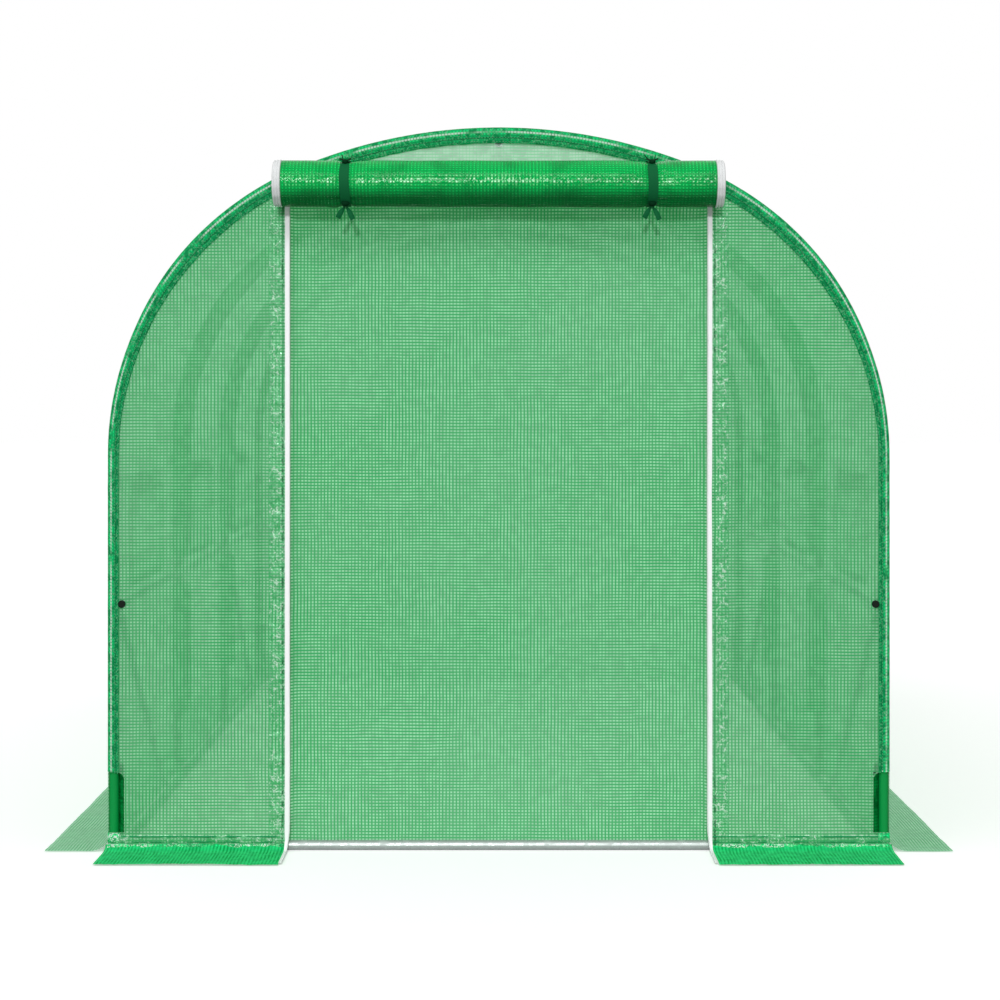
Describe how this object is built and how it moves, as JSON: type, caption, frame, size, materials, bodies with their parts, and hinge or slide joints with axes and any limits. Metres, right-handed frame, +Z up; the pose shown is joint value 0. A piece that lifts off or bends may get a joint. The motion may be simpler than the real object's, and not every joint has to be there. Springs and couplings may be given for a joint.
{
  "type": "polytunnel greenhouse",
  "caption": "Walk-in hooped tunnel greenhouse: bent tube frame, green sheet cover with skirts, net windows and a doorway with its door rolled up.",
  "frame": {"origin": "on the ground, at the middle of the plan of the whole part", "axes": "+Y runs along the tunnel away from the doorway, which is at -Y; +X is to the right as seen from the front; +Z is up"},
  "size_m": [2.3146, 3.3246, 1.8453],
  "materials": {
    "coated_tube": "green plastic-coated steel tube, satin",
    "galvanised_tube": "galvanised steel, dull spangle",
    "black_cap": "moulded black plastic, matt",
    "cover_sheet": "translucent green sheet with woven reinforcing grid",
    "cover_band": "doubled green sheet with stitched edge",
    "net": "green woven net, matt",
    "rolled_sheet": "green sheet in many layers, soft gloss",
    "zip_tape": "white woven zip tape with plastic teeth",
    "tie_ribbon": "dark green woven ribbon, matt"
  },
  "bodies": {
    "root": {"front_hoop_legs": "coated_tube", "front_hoop_bow": "coated_tube", "second_hoop_legs": "coated_tube", "second_hoop_bow": "coated_tube", "third_hoop_legs": "coated_tube", "third_hoop_bow": "coated_tube", "back_hoop_legs": "coated_tube", "back_hoop_bow": "coated_tube", "ridge_pole": "galvanised_tube", "left_side_rail": "galvanised_tube", "right_side_rail": "galvanised_tube", "rail_end_caps": "black_cap", "left_base_rail": "galvanised_tube", "right_base_rail": "galvanised_tube", "front_base_tube": "galvanised_tube", "back_base_tube": "galvanised_tube", "left_braces": "galvanised_tube", "right_braces": "galvanised_tube", "left_wall_sheet": "cover_sheet", "roof_sheet": "cover_sheet", "right_wall_sheet": "cover_sheet", "front_left_panel": "cover_sheet", "front_right_panel": "cover_sheet", "front_gable_panel": "cover_sheet", "back_panel": "cover_sheet", "front_edge_band": "cover_band", "back_edge_band": "cover_band", "second_hoop_sleeve": "cover_band", "third_hoop_sleeve": "cover_band", "left_skirt": "cover_sheet", "right_skirt": "cover_sheet", "front_left_skirt": "cover_sheet", "front_right_skirt": "cover_sheet", "back_skirt": "cover_sheet", "inner_net_door": "net", "rolled_door": "rolled_sheet", "rolled_zip_ends": "zip_tape", "left_door_zip": "zip_tape", "right_door_zip": "zip_tape", "left_roll_tie": "tie_ribbon", "right_roll_tie": "tie_ribbon", "window_nets": "net", "window_flap_rolls": "rolled_sheet"}
  },
  "joints": []
}
